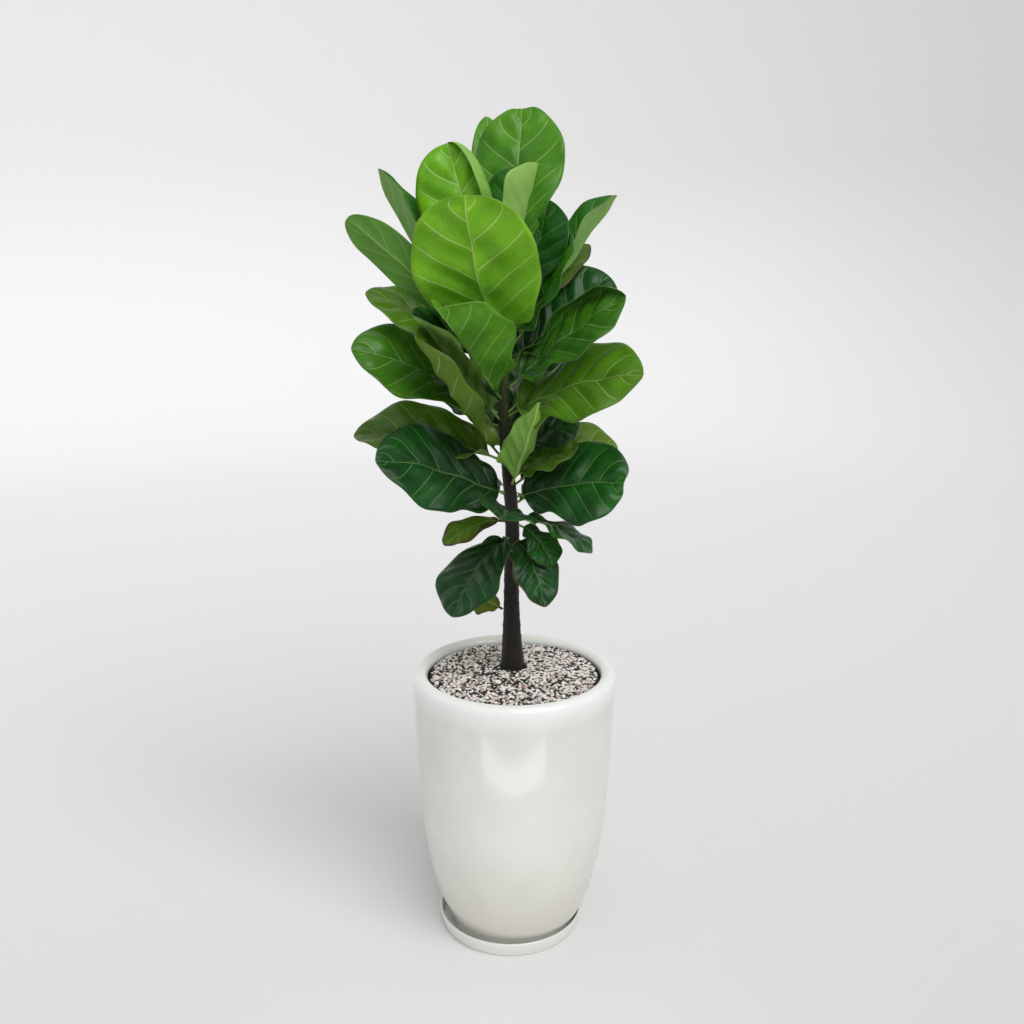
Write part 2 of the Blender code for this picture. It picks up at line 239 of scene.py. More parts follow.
# The potting mix: peat, bark fines and perlite round the root ball, in crumbs of 4 mm, damp and
# nearly black with no shine. It fills the pot up to the gravel.
soil_finish, tree, output = new_material("damp_peat_mix")
place = add(tree, "ShaderNodeTexCoord")
crumbs = add(
    tree, "ShaderNodeTexNoise", {"Vector": place.outputs["Object"], "Scale": 260.0, "Detail": 4.0}
)
soil_colour = add(
    tree, "ShaderNodeMix", {0: crumbs.outputs["Fac"], 6: srgb("1c140f"), 7: srgb("4a3a2c")}, data_type="RGBA"
)
soil_bump = add(tree, "ShaderNodeBump", {"Height": crumbs.outputs["Fac"], "Strength": 0.8, "Distance": 0.003})
soil_shader = add(
    tree,
    "ShaderNodeBsdfPrincipled",
    {"Base Color": soil_colour.outputs[2], "Roughness": 0.95, "Normal": soil_bump.outputs["Normal"]},
)
tree.links.new(soil_shader.outputs["BSDF"], output.inputs["Surface"])
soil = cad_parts["potting_soil"]
soil.data.materials.clear()
soil.data.materials.append(soil_finish)

# The gravel: washed river stones of about 5 to 9 mm in white, grey, pink and black, raked
# level over the soil. The imported bed below the top layer shows only in the gaps, as 4 mm grit
# painted nearly black for the shade there.
grit, tree, output = new_material("grit_painted_dark_as_shade")
place = add(tree, "ShaderNodeTexCoord")
grains = add(tree, "ShaderNodeTexVoronoi", {"Vector": place.outputs["Object"], "Scale": 240.0})
# Painted shade: the grit is coloured nearly black for the shade in the gaps between the stones.
painted_shade_grit_colour = add(
    tree,
    "ShaderNodeMix",
    {0: grains.outputs["Distance"], 6: srgb("2c2825"), 7: srgb("0c0b0a")},
    data_type="RGBA",
)
grit_bump = add(
    tree,
    "ShaderNodeBump",
    {"Height": grains.outputs["Distance"], "Strength": 1.0, "Distance": 0.002},
    invert=True,
)
grit_shader = add(
    tree,
    "ShaderNodeBsdfPrincipled",
    {"Base Color": painted_shade_grit_colour.outputs[2], "Roughness": 0.9, "Normal": grit_bump.outputs["Normal"]},
)
tree.links.new(grit_shader.outputs["BSDF"], output.inputs["Surface"])
gravel_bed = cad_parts["gravel_top_dressing"]
gravel_bed.data.materials.clear()
gravel_bed.data.materials.append(grit)

STONE_SPACING, ROW_SPACING, BED_RADIUS = 0.0062, 0.0062 * 0.866, 0.1665
STEM_FOOT, CLEAR_OF_STEM = (0.005, 0.020), 0.0245
SMALL_STONE, LARGE_STONE = 0.0062, 0.0092
luck = np.random.default_rng(41)
stones = bmesh.new()
stone_kind = stones.verts.layers.float.new("stone_kind")
rows = int(BED_RADIUS / ROW_SPACING) + 1
for row in range(-rows, rows + 1):
    for column in range(-rows - 8, rows + 9):
        x = (column + 0.5 * (row % 2)) * STONE_SPACING + luck.normal(0, 0.0008)
        y = row * ROW_SPACING + luck.normal(0, 0.0008)
        size = luck.uniform(SMALL_STONE, LARGE_STONE)
        from_stem = math.hypot(x + POT_X - STEM_FOOT[0], y - STEM_FOOT[1])
        if math.hypot(x, y) > BED_RADIUS - 0.35 * size or from_stem < CLEAR_OF_STEM + 0.3 * size:
            continue
        # The bed is heaped a little round the stem.
        level = np.interp(math.hypot(x, y), (0, 0.045, 0.11, BED_RADIUS), (0.5455, 0.5445, 0.5400, 0.5380))
        turn = Matrix.Rotation(luck.uniform(0, math.tau), 4, Vector(luck.normal(size=3)).normalized())
        squeeze = Matrix.Diagonal(
            (luck.uniform(0.9, 1.35), luck.uniform(0.8, 1.1), luck.uniform(0.62, 0.85), 1)
        )
        at = Matrix.Translation((x + POT_X, y, level + luck.normal(0, 0.0009)))
        tilt = Matrix.Rotation(luck.normal(0, 0.35), 4, "X") @ Matrix.Rotation(
            luck.uniform(0, math.tau), 4, "Z"
        )
        kind = luck.random()
        for corner in bmesh.ops.create_cube(stones, size=size, matrix=at @ tilt @ squeeze @ turn)["verts"]:
            corner.co += Vector(luck.normal(0, 0.0005, 3))
            corner[stone_kind] = kind

# River stone tumbled smooth and washed: satin, with a 1.5 mm grain, each stone in one of nine
# colours from white and pale pink to black.
washed_stone, tree, output = new_material("washed_river_stone")
place = add(tree, "ShaderNodeTexCoord")
which = add(tree, "ShaderNodeAttribute", attribute_name="stone_kind")
stone_colours = add(tree, "ShaderNodeValToRGB", {"Fac": which.outputs["Fac"]})
stone_colours.color_ramp.interpolation = "CONSTANT"
for start, code in (
    (0.14, "fbf6f3"),
    (0.34, "e6d5d2"),
    (0.46, "1b1a1a"),
    (0.58, "c9c1b8"),
    (0.66, "f1e9e4"),
    (0.76, "35302e"),
    (0.84, "d8b3ad"),
    (0.90, "8f887f"),
):
    stone_colours.color_ramp.elements.new(start).color = srgb(code)
stone_colours.color_ramp.elements[0].color = srgb("e9e5e1")
grain = add(
    tree, "ShaderNodeTexNoise", {"Vector": place.outputs["Object"], "Scale": 700.0, "Detail": 3.0}
)
stone_shade = add(
    tree,
    "ShaderNodeMix",
    {0: 0.45, 6: stone_colours.outputs["Color"], 7: grain.outputs["Fac"]},
    data_type="RGBA",
    blend_type="OVERLAY",
)
stone_bump = add(
    tree, "ShaderNodeBump", {"Height": grain.outputs["Fac"], "Strength": 0.3, "Distance": 0.0006}
)
stone_shader = add(
    tree,
    "ShaderNodeBsdfPrincipled",
    {"Base Color": stone_shade.outputs[2], "Roughness": 0.55, "Normal": stone_bump.outputs["Normal"]},
)
tree.links.new(stone_shader.outputs["BSDF"], output.inputs["Surface"])
gravel = new_piece("river_stones", stones, washed_stone)
rounding = gravel.modifiers.new("Tumbled round", "SUBSURF")
rounding.levels = rounding.render_levels = 1
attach(gravel, "root")

# The stem: one woody shoot, trained straight. Its bark is dark, with paler pores and a ring
# scar where each leaf grew, and it is greener towards the growing bud at its top.
stem_line = np.array(
    (
        (0.005, 0.020, 0.440, 0.0232),
        (0.005, 0.020, 0.552, 0.0235),
        (0.003, 0.017, 0.600, 0.0190),
        (0.001, 0.010, 0.680, 0.0150),
        (0.002, 0.004, 0.760, 0.0140),
        (0.005, 0.000, 0.820, 0.0135),
        (0.001, 0.000, 0.890, 0.0125),
        (-0.005, 0.000, 0.950, 0.0115),
        (-0.012, 0.000, 1.020, 0.0105),
        (-0.014, 0.000, 1.080, 0.0095),
        (-0.008, 0.000, 1.160, 0.0085),
        (0.000, 0.002, 1.240, 0.0075),
        (0.006, 0.004, 1.310, 0.0060),
        (0.008, 0.005, 1.350, 0.0035),
    )
)


def stem_at(height):
    """The stem's middle and radius at a height."""
    x, y, radius = (np.interp(height, stem_line[:, 2], stem_line[:, i]) for i in (0, 1, 3))
    return np.array((x, y, height)), radius


stem_shape = bmesh.new()
ring = bmesh.ops.create_circle(stem_shape, cap_ends=True, segments=28, radius=1)["verts"]
STEM_RINGS = np.append(np.arange(0.440, 1.343, 0.0035), 1.350)
SCAR_SPACING, LOWEST_SCAR = 0.0235, 0.60
outline = [Vector((v.co.x, v.co.y)) for v in ring]
foot_edges = stem_shape.edges[:]
for step, height in enumerate(STEM_RINGS):
    if step:
        grown = bmesh.ops.extrude_edge_only(stem_shape, edges=foot_edges)["geom"]
        ring = [g for g in grown if isinstance(g, bmesh.types.BMVert)]
        foot_edges = [g for g in grown if isinstance(g, bmesh.types.BMEdge)]
    middle = np.mean([stem_at(height + shift)[0] for shift in (-0.02, 0, 0.02)], axis=0)
    radius = np.mean([stem_at(height + shift)[1] for shift in (-0.015, 0, 0.015)])
    scar = math.exp(-((((height - LOWEST_SCAR) % SCAR_SPACING) - 0.012) ** 2) / 0.0000045)
    radius *= 1 + (0.055 * scar if height > LOWEST_SCAR else 0) + 0.012 * math.sin(height * 190)
    for corner, spoke in zip(ring, outline):
        angle = math.atan2(spoke.y, spoke.x)
        swell = radius * (
            1 + 0.03 * math.sin(3 * angle + height * 21) + 0.02 * math.sin(5 * angle - height * 34)
        )
        corner.co = (middle[0] + spoke.x * swell, middle[1] + spoke.y * swell, height)
bmesh.ops.contextual_create(stem_shape, geom=foot_edges)
bmesh.ops.recalc_face_normals(stem_shape, faces=stem_shape.faces)

# Fig bark: corky and nearly black, with a dull shine, pores 7 mm apart round it and 2 mm along
# it, and fissures of 10 by 3 mm. The newest wood near the bud is still green.
bark, tree, output = new_material("dark_fig_bark")
place = add(tree, "ShaderNodeTexCoord")
height_axis = add(tree, "ShaderNodeSeparateXYZ", {"Vector": place.outputs["Object"]})
banded = add(tree, "ShaderNodeMapping", {"Vector": place.outputs["Object"], "Scale": (1, 1, 3.5)})
fissures = add(
    tree,
    "ShaderNodeTexNoise",
    {"Vector": banded.outputs["Vector"], "Scale": 95.0, "Detail": 5.0, "Roughness": 0.65},
)
pores = add(
    tree, "ShaderNodeTexVoronoi", {"Vector": banded.outputs["Vector"], "Scale": 150.0}
)
pore_amount = add(
    tree,
    "ShaderNodeMapRange",
    {"Value": pores.outputs["Distance"], "From Min": 0.10, "From Max": 0.2, "To Min": 0.6, "To Max": 0.0},
)
bark_colour = add(
    tree,
    "ShaderNodeMix",
    {0: fissures.outputs["Fac"], 6: srgb("050404"), 7: srgb("2a2420")},
    data_type="RGBA",
)
with_pores = add(
    tree,
    "ShaderNodeMix",
    {0: pore_amount.outputs["Result"], 6: bark_colour.outputs[2], 7: srgb("4a443b")},
    data_type="RGBA",
)
young_amount = add(
    tree,
    "ShaderNodeMapRange",
    {"Value": height_axis.outputs["Z"], "From Min": 0.98, "From Max": 1.30, "To Max": 0.8},
)
stem_colour = add(
    tree,
    "ShaderNodeMix",
    {0: young_amount.outputs["Result"], 6: with_pores.outputs[2], 7: srgb("5d7431")},
    data_type="RGBA",
)
bark_bump = add(
    tree, "ShaderNodeBump", {"Height": fissures.outputs["Fac"], "Strength": 1.0, "Distance": 0.0025}
)
bark_shader = add(
    tree,
    "ShaderNodeBsdfPrincipled",
    {
        "Base Color": stem_colour.outputs[2],
        "Roughness": 0.55,
        "Specular IOR Level": 0.35,
        "Normal": bark_bump.outputs["Normal"],
    },
)
tree.links.new(bark_shader.outputs["BSDF"], output.inputs["Surface"])
stem = new_piece("fig_stem", stem_shape, bark)
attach(stem, "root")
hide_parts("stem")

# The leaves: leathery violin-shaped blades on short round stalks, quilted between a pale midrib
# and four or five side veins on each half. Young ones at the top are lime green and satin, old
# ones low down are dark and glossy, and those low and deep in the crown are darkened further as
# painted shade. The underside is paler, with the veins standing out.
GAP, STALK_THICKNESS, RIB_THICKNESS, FLAP_START = 0.0003, 0.0045, 0.0034, 0.6


@dataclass
class Leaf:
    """One leaf. Angles are in degrees, and left and right are as seen on the upper face
    from the stalk."""

    name: str
    node: float  # height on the stem where the stalk leaves it
    tip: tuple
    width: float
    lift: float = 12  # how far the midrib starts above the line from stalk to tip
    droop: float = 20  # how far it ends below that line
    roll: float = 0  # turn about the midrib, right-handed from stalk to tip
    twist: float = 0  # more of the same turn, growing to this at the tip
    fold: tuple = (8, 8)  # left and right half, raised about the midrib
    curl: tuple = (-12, -12)  # further turn of each half from midrib to margin
    flap: tuple = (0, 0)  # further fold of each half's outer part
    wave: float = 0.005  # how far the margin waves up and down, in metres
    phase: float = 0.0  # where along the blade that wave starts
    broad: float = 1.6  # where the widest place is: more is nearer the tip
    blunt: float = 0.62  # less is rounder at the tip and at the base, 1 is pointed
    waist: float = 0.12  # how far the blade is drawn in below its middle
    base: float = 0.17  # how full the blade is where it joins the stalk
    stalk: float = 0.14  # part of the whole length that is bare stalk
    notch: float = 0.0  # how deep the tip is notched, in metres
    # tone also holds painted shade: leaves low and deep in the crown are given darker tones.
    tone: float = 0.5  # 0 young and lime green, 1 old and dark
    olive: float = 0.0  # 0 fresh green, 1 yellowed
    pale: float = 0.75  # how much paler than the upper face the underside is
    dry: float = 0.0  # how far the margin has browned


LEAVES = (
    # The top of the crown, from the back to the front.
    Leaf("leaf_01", 1.323, (0.022, 0.094, 1.614), 0.174, 13, 9, -7, fold=(6, 6), broad=1.35,
         waist=0.03, notch=0.012, tone=0.35, base=0.05, olive=0.1),
    Leaf("leaf_02", 1.285, (-0.046, 0.190, 1.603), 0.085, 0, 5, tone=0.3, olive=0.1),
    Leaf("leaf_03", 1.260, (-0.113, 0.030, 1.537), 0.165, -10, -5, -75, fold=(5, 0), flap=(0, 140),
         blunt=0.42, tone=0.05, base=0.05, pale=0.6),
    Leaf("leaf_04", 1.230, (-0.237, 0.030, 1.493), 0.110, -25, -25, -5, fold=(50, 50), tone=0.5, pale=0.5),
    Leaf("leaf_05", 1.168, (-0.276, -0.100, 1.402), 0.085, 0, 5, 50, blunt=0.42, tone=0.4, pale=0.25),
    Leaf("leaf_06", 1.180, (-0.075, -0.135, 1.437), 0.226, -21, -18, 15, fold=(5, 5), broad=1.35,
         waist=0, stalk=0.07, tone=0.0, blunt=0.4, base=0.04, pale=0.05),
    Leaf("leaf_07", 1.090, (-0.117, -0.226, 1.255), 0.180, -5, 7, -6, fold=(45, 45), broad=1.2,
         tone=0.2, base=0.12, pale=0.05),
    Leaf("leaf_08", 1.190, (0.108, -0.030, 1.378), 0.130, -10, -5, 40, fold=(20, 20), blunt=0.45,
         tone=0.5, base=0.3),
    Leaf("leaf_09", 1.234, (0.070, 0.011, 1.438), 0.148, 0, 0, 40, tone=0.72, base=0.25),
    Leaf("leaf_10", 1.301, (0.050, 0.031, 1.502), 0.173, 19, 3, 45, fold=(5, 105), curl=(-10, 10),
         tone=0.6, pale=0.95),
    Leaf("leaf_11", 1.226, (0.196, 0.071, 1.449), 0.110, -14, -1, 3, fold=(50, 50), tone=0.6, pale=0.6),
    Leaf("leaf_12", 1.200, (0.150, 0.119, 1.364), 0.078, 13, 16, 20, tone=0.6, olive=0.4, dry=0.4),
    # The middle, on the left.
    Leaf("leaf_13", 1.148, (-0.257, -0.043, 1.277), 0.123, 12, 10, -34, tone=0.5, base=0.3, olive=0.35),
    Leaf("leaf_14", 1.060, (-0.277, -0.100, 1.183), 0.165, 10, 15, -45, tone=0.55, base=0.3, olive=0.15),
    Leaf("leaf_15", 1.052, (-0.163, -0.165, 1.244), 0.150, -1, 5, -32, fold=(30, 30), tone=0.9, base=0.28),
    Leaf("leaf_16", 0.980, (-0.158, -0.180, 1.207), 0.198, -5, 5, -55, fold=(15, 10), flap=(110, 0),
         tone=0.6, base=0.25, olive=0.45, pale=0.0),
    # The middle, on the right.
    Leaf("leaf_17", 1.110, (0.201, -0.080, 1.271), 0.170, 5, 10, 40, fold=(10, 10), broad=1.6,
         blunt=0.55, waist=0.12, tone=0.55, flap=(130, 0), base=0.3, olive=0.1, pale=0.8),
    Leaf("leaf_18", 1.055, (0.230, -0.120, 1.138), 0.180, 12, 20, 45, broad=1.3, tone=0.42, base=0.3,
         olive=0.3),
    Leaf("leaf_19", 1.150, (0.185, 0.060, 1.305), 0.160, 0, 5, 45, tone=0.82, blunt=0.5, base=0.36),
    # The lower tiers.
    Leaf("leaf_20", 0.970, (-0.298, 0.030, 1.010), 0.190, 14, 18, -35, fold=(30, 5), broad=1.2,
         tone=0.55, blunt=0.65, olive=0.4),
    Leaf("leaf_21", 0.909, (-0.232, -0.163, 0.996), 0.174, 1, 16, -57, broad=1.15, stalk=0.1, tone=0.85),
    Leaf("leaf_22", 0.870, (-0.018, -0.200, 0.903), 0.120, 5, 5, -10, fold=(5, 35), tone=0.9),
    Leaf("leaf_23", 0.853, (-0.123, -0.070, 0.821), 0.065, 28, 25, -20, tone=0.5, olive=0.5, dry=0.6),
    Leaf("leaf_24", 0.820, (-0.106, -0.120, 0.698), 0.150, 30, 20, 0, broad=1.35, stalk=0.07, tone=0.95),
    Leaf("leaf_25", 0.670, (-0.075, 0.020, 0.690), 0.065, 10, 10, -45, tone=0.1, olive=0.9, dry=0.3),
    Leaf("leaf_26", 0.817, (0.065, -0.089, 0.707), 0.100, 25, 20, 3, broad=0.95, stalk=0.08, tone=0.9,
         dry=0.25),
    Leaf("leaf_27", 0.845, (0.080, -0.050, 0.776), 0.075, 30, 20, 22, tone=0.8),
    Leaf("leaf_28", 0.862, (0.152, -0.060, 0.803), 0.110, 20, 20, -4, tone=0.8, pale=0.9),
    Leaf("leaf_29", 0.900, (0.218, -0.079, 0.938), 0.178, 8, 15, 50, broad=1.45, stalk=0.06,
         notch=0.012, tone=0.8),
    Leaf("leaf_30", 0.940, (0.127, -0.011, 0.996), 0.130, 14, 20, 39, fold=(8, 30), broad=1.2,
         stalk=0.08, tone=0.5, olive=0.3),
    Leaf("leaf_31", 0.970, (0.130, 0.010, 1.035), 0.120, 20, 30, 25, tone=0.9),
    Leaf("leaf_32", 0.940, (0.211, 0.110, 0.979), 0.140, 15, 25, 30, tone=0.5, olive=0.5),
    Leaf("leaf_33", 0.930, (0.050, -0.120, 1.091), 0.085, -5, 0, 0, fold=(40, 40), broad=0.6, blunt=0.8,
         tone=0.15, pale=0.6),
    # The far side.
    Leaf("leaf_34", 1.215, (0.060, 0.200, 1.400), 0.140, tone=0.6, base=0.36),
    Leaf("leaf_35", 1.245, (-0.100, 0.170, 1.420), 0.150, tone=0.5, base=0.3),
    Leaf("leaf_36", 1.180, (-0.140, 0.200, 1.350), 0.170, tone=0.6, base=0.3),
    Leaf("leaf_37", 1.120, (0.030, 0.270, 1.260), 0.190, tone=0.7, base=0.36),
    Leaf("leaf_38", 1.060, (0.190, 0.180, 1.165), 0.180, tone=0.7, base=0.36),
    Leaf("leaf_39", 1.020, (-0.205, 0.185, 1.120), 0.175, tone=0.7, base=0.4),
    Leaf("leaf_40", 0.960, (0.040, 0.270, 1.020), 0.190, tone=0.8),
    Leaf("leaf_41", 0.920, (0.170, 0.190, 0.950), 0.170, tone=0.8),
    Leaf("leaf_42", 0.900, (-0.150, 0.170, 0.905), 0.140, tone=0.9),
    Leaf("leaf_43", 0.990, (0.030, 0.255, 1.140), 0.155, tone=0.8, base=0.36),
    Leaf("leaf_44", 0.885, (0.100, 0.100, 0.890), 0.110, tone=0.9),
)


def turned(vector, axis, degrees):
    """Vectors turned about unit axes, right-handed."""
    angle = np.radians(degrees)[..., None]
    along = axis * (axis * vector).sum(-1, keepdims=True)
    return along + (vector - along) * np.cos(angle) + np.cross(axis, vector) * np.sin(angle)


def unit(vector):
    """Vectors with their length made 1."""
    return vector / np.linalg.norm(vector, axis=-1, keepdims=True)


def smooth_step(value):
    """0 below 0, 1 above 1, and a smooth rise between."""
    value = np.clip(value, 0.0, 1.0)
    return value * value * (3 - 2 * value)


def midrib_of(leaf):
    """The midrib as a function of the part of its length, giving place, heading and up."""
    foot, radius = stem_at(leaf.node)
    tip = np.array(leaf.tip)
    out = unit((tip - foot) * (1, 1, 0))
    rise = abs(unit(tip - foot)[2])
    start = foot + out * (radius + GAP + STALK_THICKNESS * (0.2 + rise))
    length = np.linalg.norm(tip - start)
    chord = (tip - start) / length
    up = unit(np.array((0, 0, 1)) - chord[2] * chord)
    side = np.cross(chord, up)
    first = start + turned(chord, side, leaf.lift) * length / 3
    last = tip - turned(chord, side, -leaf.droop) * length / 3
    steps = np.linspace(0, 1, 61)[:, None]
    line = (
        start * (1 - steps) ** 3
        + first * 3 * steps * (1 - steps) ** 2
        + last * 3 * steps**2 * (1 - steps)
        + tip * steps**3
    )
    run = np.concatenate(([0], np.cumsum(np.linalg.norm(np.diff(line, axis=0), axis=1))))
    headings = np.gradient(line, run, axis=0)

    def at(part):
        reach = part * run[-1]
        heading = unit(np.stack([np.interp(reach, run, headings[:, i]) for i in range(3)], -1))
        place = np.stack([np.interp(reach, run, line[:, i]) for i in range(3)], -1)
        place += heading * np.minimum(reach, 0)[..., None]
        across = unit(np.cross(heading, up))
        return place, heading, np.cross(across, heading)

    return at, run[-1]


# The spaces between side veins from stalk to tip, the part of each leaf's stalk that stays bare,
# the least size of the tube that the sheet is curled into at the stalk, and how strong the ridge
# under the midrib is at the stalk.
SIDE_VEINS, BARE, TUBE, RIDGE = 5.6, 0.5, 0.0013, 0.55


def blade_sheet(leaf, along, across):
    """The leaf's upper face over a grid, and what its materials read there: the side veins'
    count, and the distances from the midrib and from the margin in millimetres."""
    midrib, length = midrib_of(leaf)
    along, across = np.meshgrid(along, across, indexing="ij")
    blade = np.clip((along - BARE * leaf.stalk) / (1 - BARE * leaf.stalk), 0, 1)
    shape = np.sin(math.pi * blade**leaf.broad) ** leaf.blunt
    shape = np.where((blade > 0) & (blade < 1), shape, 0)
    shape *= 1 - leaf.waist * np.exp(-(((blade - 0.30) / 0.11) ** 2))
    shape += leaf.base * np.exp(-(((blade - 0.15) / 0.10) ** 2)) * smooth_step(blade / 0.05)
    seed = leaf.node * 97 + leaf.tip[0] * 31
    shape *= 1 + 0.012 * np.sin(blade * 23 + seed + np.sign(across)) * (blade > 0)
    half = np.maximum(shape * leaf.width / 2, TUBE * 3.05)
    distance = np.abs(across) * half
    pull = leaf.notch * np.exp(-((distance / (0.11 * leaf.width)) ** 2)) * smooth_step((blade - 0.8) / 0.2)
    place, heading, up = midrib(along - pull / length)
    up = turned(up, heading, leaf.roll + leaf.twist * blade)
    side = np.cross(heading, up)
    which = (across >= 0).astype(int)
    opened = smooth_step(blade / 0.14)
    # Each half is bent from the midrib outwards, and at the stalk it is curled into a tube.
    fold = np.radians(np.array(leaf.fold)[which]) * opened
    turn = np.radians(np.array(leaf.curl)[which]) * opened + math.radians(175) * (1 - opened)
    turn = np.where(np.abs(turn) > 0.01, turn, 0.01)
    flap = np.radians(np.array(leaf.flap)[which]) * opened
    steps = 12
    out, lift = np.zeros_like(half), np.zeros_like(half)
    for step in range(steps):
        part = (step + 0.5) / steps * distance / half
        here = fold + turn * part + flap * smooth_step((part - FLAP_START + 0.06) / 0.16)
        out += distance / steps * np.cos(here)
        lift += distance / steps * np.sin(here)
    ripple = np.sin(math.tau * (2.6 * blade + leaf.phase + 0.4 * which))
    lift += min(leaf.wave, 0.045 * leaf.width) * across**2 * ripple * opened * (
        1 - smooth_step((blade - 0.85) / 0.15)
    )
    # The blade is quilted: it puffs up between the veins and sinks along them.
    far = np.abs(across)
    slope = 0.30 - 0.14 * blade
    veins = (blade - slope * far - 0.06 * far**2 + 0.02 * np.sin(seed)) * SIDE_VEINS + 0.3 * which
    flat = opened * (1 - smooth_step((blade - 0.9) / 0.1))
    puff = 0.0019 * leaf.width / 0.16 * (1 - far**4) * smooth_step(distance / 0.012) * flat
    to_vein = np.abs(veins - np.round(veins))
    lift += puff * (1 - np.cos(math.tau * to_vein)) - 0.0005 * np.exp(-((to_vein / 0.06) ** 2)) * flat
    lift += 0.019 * leaf.width * flat * np.sin(blade * 17 + seed) * np.sin(distance * 70 + seed * 2) * (
        1 - far**2
    )
    lift -= 0.0012 * np.exp(-((distance / 0.0028) ** 2)) * flat
    lift -= (1 - opened) * (STALK_THICKNESS - 0.0012)
    points = place + side * (np.where(across > 0, out, -out))[..., None] + up * lift[..., None]
    rib = distance * 1000 / (1.25 - 0.75 * blade)
    edge = (half - distance) * 1000
    edge = np.minimum(edge, (1 - blade) * length * 1300 + 0.4)
    ridge = np.exp(-((distance / 0.0022) ** 2)) * (RIDGE - 0.4 * blade) * flat
    return points, {"veins": veins, "rib": rib, "edge": edge, "blade": blade}, ridge


# Each blade's grid, and its thickness beside the midrib, as a part of the midrib's.
BLADE_ROWS, BLADE_COLUMNS, THINNEST = 78, 30, 0.3


def leaf_piece(leaf, upper, under):
    """A leaf as a bent sheet with a thickness, its two faces in their own materials."""
    spread = np.linspace(0, 1, BLADE_ROWS)
    spread = 0.45 * spread + 0.55 * (1 - np.cos(math.pi * spread)) / 2
    bare = BARE * leaf.stalk
    along = np.concatenate(((-0.03,), np.linspace(0, bare, 5)[:-1], bare + (1 - bare) * spread))
    across = np.linspace(-1, 1, BLADE_COLUMNS + 1)
    across = np.sign(across) * np.abs(across) ** 1.35
    points, facts, ridge = blade_sheet(leaf, along, across)
    sheet = bmesh.new()
    bmesh.ops.create_grid(sheet, x_segments=BLADE_COLUMNS, y_segments=len(along) - 1, size=1)
    layers = {name: sheet.verts.layers.float.new(name) for name in (*facts, "tone", "olive", "pale", "dry")}
    thickness = sheet.verts.layers.deform.verify()
    for vertex in sheet.verts:
        column = round((vertex.co.x + 1) / 2 * BLADE_COLUMNS)
        row = round((vertex.co.y + 1) / 2 * (len(along) - 1))
        vertex.co = points[row, column]
        vertex[thickness][0] = THINNEST + (1 - THINNEST) * ridge[row, column] / RIDGE
        for name, values in facts.items():
            vertex[layers[name]] = values[row, column]
        for name in ("tone", "olive", "pale", "dry"):
            vertex[layers[name]] = getattr(leaf, name)
    obj = new_piece("fig_" + leaf.name, sheet, upper, under)
    obj.vertex_groups.new(name="ridge")
    body = obj.modifiers.new("Thickness", "SOLIDIFY")
    body.thickness = RIB_THICKNESS
    body.offset = -1
    body.vertex_group = "ridge"
    body.material_offset = 1
    return obj


